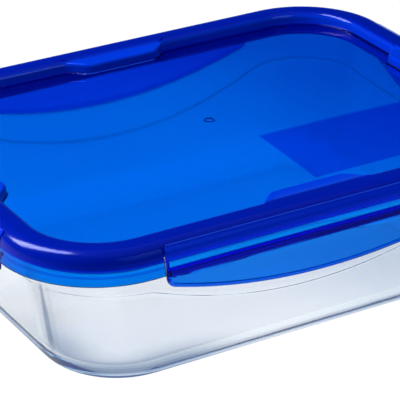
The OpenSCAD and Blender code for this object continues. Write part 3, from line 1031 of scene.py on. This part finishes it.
# ---------------------------------------------------------------- the floor
# Painted shadow round the foot: distance outside the foot's edge in mm, and the light left there
PAINTED_FOOT_SHADE = [(-40, 1.0), (-16, 0.93), (-10, 0.8), (-6, 0.66), (-2, 0.52), (2, 0.42),
              (6, 0.40), (10, 0.48), (14, 0.7), (20, 0.9), (30, 1.0)]
# How strongly each painted shade takes away red, green and blue, or what it leaves of them,
# and the painted light added behind the dish
FOOT_TAKES = (1.20, 1.08, 0.90)
LID_LEAVES = (0.50, 0.52, 0.76)
RIGHT_LEAVES = (0.74, 0.79, 0.85)
LEFT_LEAVES, AHEAD_LEAVES, BEHIND_ADDS = 0.82, 0.6, 0.13
CORNER_SHADE, AWAY_SHADE = 1.0, 0.07    # strength of the foot's shade near the front left
#                                         corner, and well away from it


def painted_foot_shade(s):
    """The light left by the painted shadow at a distance s outside the foot's edge."""
    for (s0, a), (s1, b) in zip(PAINTED_FOOT_SHADE, PAINTED_FOOT_SHADE[1:]):
        if s0 <= s <= s1:
            return lerp(a, b, ramp(s, s0, s1))
    return 1.0


def painted_floor_light(x, y):
    """Colour of the light table at a place, with painted shade and light: a shade round the foot's
    front left corner, the blue shade that the lid throws to the right and behind, and the darker
    room ahead."""
    hx, hy, r = standing_size()
    if x <= 0 and y <= 0:
        far = ramp(math.hypot(x + hx, y + hy), 30.0, 75.0)
        amount = lerp(CORNER_SHADE, AWAY_SHADE, far)
    else:
        amount = AWAY_SHADE if x < hx and y < hy - 25 else 0.0
    foot = (1 - painted_foot_shade(outside(x, y, hx, hy, r))) * amount
    lid_shade = ramp(x, 50.0, 180.0) * ramp(y, -20.0, 70.0)
    lid_shade *= ramp(math.hypot(x, y), 500.0, 300.0)
    ahead = ramp(-y - hy if x > -hx else -x - hx, 22.0, 47.0)
    behind = ramp(y, 10.0, 35.0) * ramp(y, 108.0, 101.0) if abs(x) < hx + 20 else 0.0
    right = ramp(x, -10.0, 80.0) * ramp(y, 15.0, -15.0)
    left = ramp(x, -72.0, -86.0) * ramp(y, -22.0, -2.0) if x > -hx - 20 else 0.0
    even = lerp(1.0, LEFT_LEAVES, left) * lerp(1.0, AHEAD_LEAVES, ahead)
    even *= 1 + BEHIND_ADDS * behind
    return [(1 - foot * takes) * lerp(1.0, lid_leaves, lid_shade)
            * lerp(1.0, right_leaves, right) * even
            for takes, lid_leaves, right_leaves in zip(FOOT_TAKES, LID_LEAVES, RIGHT_LEAVES)]


# Distances of the floor's rings outside the foot's edge, in mm
FLOOR_RINGS = [-60, -40, -28, -20, -16, -13, -10, -8, -6, -4, -2, 0, 2, 4, 6, 8, 10, 12, 14, 17,
               20, 25, 30, 40, 55, 75, 100, 130, 170, 230, 320, 500, 900, 7000]
FLOOR_Z, FLOOR_LEAST_R = -0.4, 3.0      # its height, and the least corner radius of a ring


def build_floor():
    sts = stations(between(FLAT_X, 16), between(FLAT_Y, 16), 12)
    hx, hy, r = standing_size()
    rings = [place_all(sts, hx + d, hy + d, max(r + d, FLOOR_LEAST_R), FLOOR_Z)
             for d in FLOOR_RINGS]
    plate = piece("floor", *skin(rings, caps=(True, False)))
    painted_shade_glow = plate.data.attributes.new("painted_shade_glow", "FLOAT_COLOR", "POINT")
    for v in plate.data.vertices:
        painted_shade_glow.data[v.index].color = (*painted_floor_light(v.co.x / MM, v.co.y / MM), 1.0)
    return plate


floor = build_floor()
floor.data.materials.append(floor_material())


# ---------------------------------------------------------------- light
HORIZON_LIGHT, SKY_LIGHT, PALE_LIGHT = 0.5, 0.02, 0.38
HORIZON_BLUE = (0.10, 0.42, 1.0, 1)
PALE_WHITE = (0.95, 0.97, 0.98, 1)


def studio_world():
    """Pale for light that has passed through glass or plastic and for what the camera sees
    directly. For the rest a low bluish horizon under a nearly dark sky."""
    world = bpy.data.worlds.new("studio")
    bpy.context.scene.world = world
    world.use_nodes = True
    nt = world.node_tree
    sky = nt.nodes["Background"]
    direction = nt.nodes.new("ShaderNodeTexCoord")
    split = nt.nodes.new("ShaderNodeSeparateXYZ")
    nt.links.new(direction.outputs["Generated"], split.inputs["Vector"])
    horizon = remap(nt, split.outputs["Z"], HORIZON_LIGHT, SKY_LIGHT, 0.10, 0.28)
    ray = nt.nodes.new("ShaderNodeLightPath")
    is_pale = nt.nodes.new("ShaderNodeMath")
    is_pale.operation = "MAXIMUM"
    nt.links.new(ray.outputs["Is Transmission Ray"], is_pale.inputs[0])
    nt.links.new(ray.outputs["Is Camera Ray"], is_pale.inputs[1])
    low = nt.nodes.new("ShaderNodeRGB")
    low.outputs[0].default_value = HORIZON_BLUE
    high = nt.nodes.new("ShaderNodeRGB")
    high.outputs[0].default_value = PALE_WHITE
    nt.links.new(mix_by(nt, is_pale.outputs[0], horizon, PALE_LIGHT), sky.inputs["Strength"])
    nt.links.new(mix_color(nt, is_pale.outputs[0], low.outputs[0], high.outputs[0]),
                 sky.inputs["Color"])


def area(name, at, target, size_x, size_y, power):
    """A rectangular lamp, in metres and watts. It isn't seen through the glass."""
    data = bpy.data.lights.new(name, "AREA")
    data.shape = "RECTANGLE"
    data.size, data.size_y = size_x, size_y
    data.energy = power
    lamp = bpy.data.objects.new(name, data)
    lamp.location = at
    lamp.rotation_euler = (Vector(target) - Vector(at)).to_track_quat("-Z", "Y").to_euler()
    lamp.visible_transmission = False
    bpy.context.scene.collection.objects.link(lamp)


studio_world()
area("key_box", (-0.66, 0.49, 1.07), (-0.118, -0.073, 0.07), 0.48, 1.10, 26.0)
area("top_box", (0.1, 0.0, 1.3), (0, 0, 0.07), 1.6, 1.3, 0.8)
area("front_box", (0.3, -1.4, 0.9), (0, -0.09, 0.06), 1.0, 0.8, 4.2)

# ---------------------------------------------------------------- camera and render settings
AZIMUTH, ELEVATION, ROLL = math.radians(-30.566), math.radians(25.658), math.radians(-0.282)
TARGET, DISTANCE = Vector((0.039153, 0.059707, 0.0)), 1.082396      # metres
SENSOR, LENS = 36.0, 209.18601                                      # mm
SHIFT_X, SHIFT_Y = -0.043545, -0.0174125
CLIP_NEAR, CLIP_FAR = 0.05, 50.0

back = Vector((math.sin(AZIMUTH) * math.cos(ELEVATION),
               -math.cos(AZIMUTH) * math.cos(ELEVATION),
               math.sin(ELEVATION)))
cam_data = bpy.data.cameras.new("camera")
cam = bpy.data.objects.new("camera", cam_data)
bpy.context.scene.collection.objects.link(cam)
cam.location = TARGET + back * DISTANCE
cam.rotation_mode = "QUATERNION"
cam.rotation_quaternion = (-back).to_track_quat("-Z", "Y") @ Quaternion((0, 0, 1), ROLL)
cam_data.sensor_width = SENSOR
cam_data.lens = LENS
cam_data.shift_x, cam_data.shift_y = SHIFT_X, SHIFT_Y
cam_data.clip_start, cam_data.clip_end = CLIP_NEAR, CLIP_FAR
bpy.context.scene.camera = cam

# Many bounces, as light is guided a long way inside the glass
scene = bpy.context.scene
scene.view_settings.view_transform = "Standard"
scene.cycles.use_denoising = True
scene.cycles.max_bounces = 64
scene.cycles.transmission_bounces = 60
scene.cycles.glossy_bounces = 40
scene.cycles.diffuse_bounces = 4
scene.cycles.transparent_max_bounces = 12
scene.cycles.sample_clamp_indirect = 8.0
scene.cycles.caustics_refractive = True
scene.cycles.caustics_reflective = False
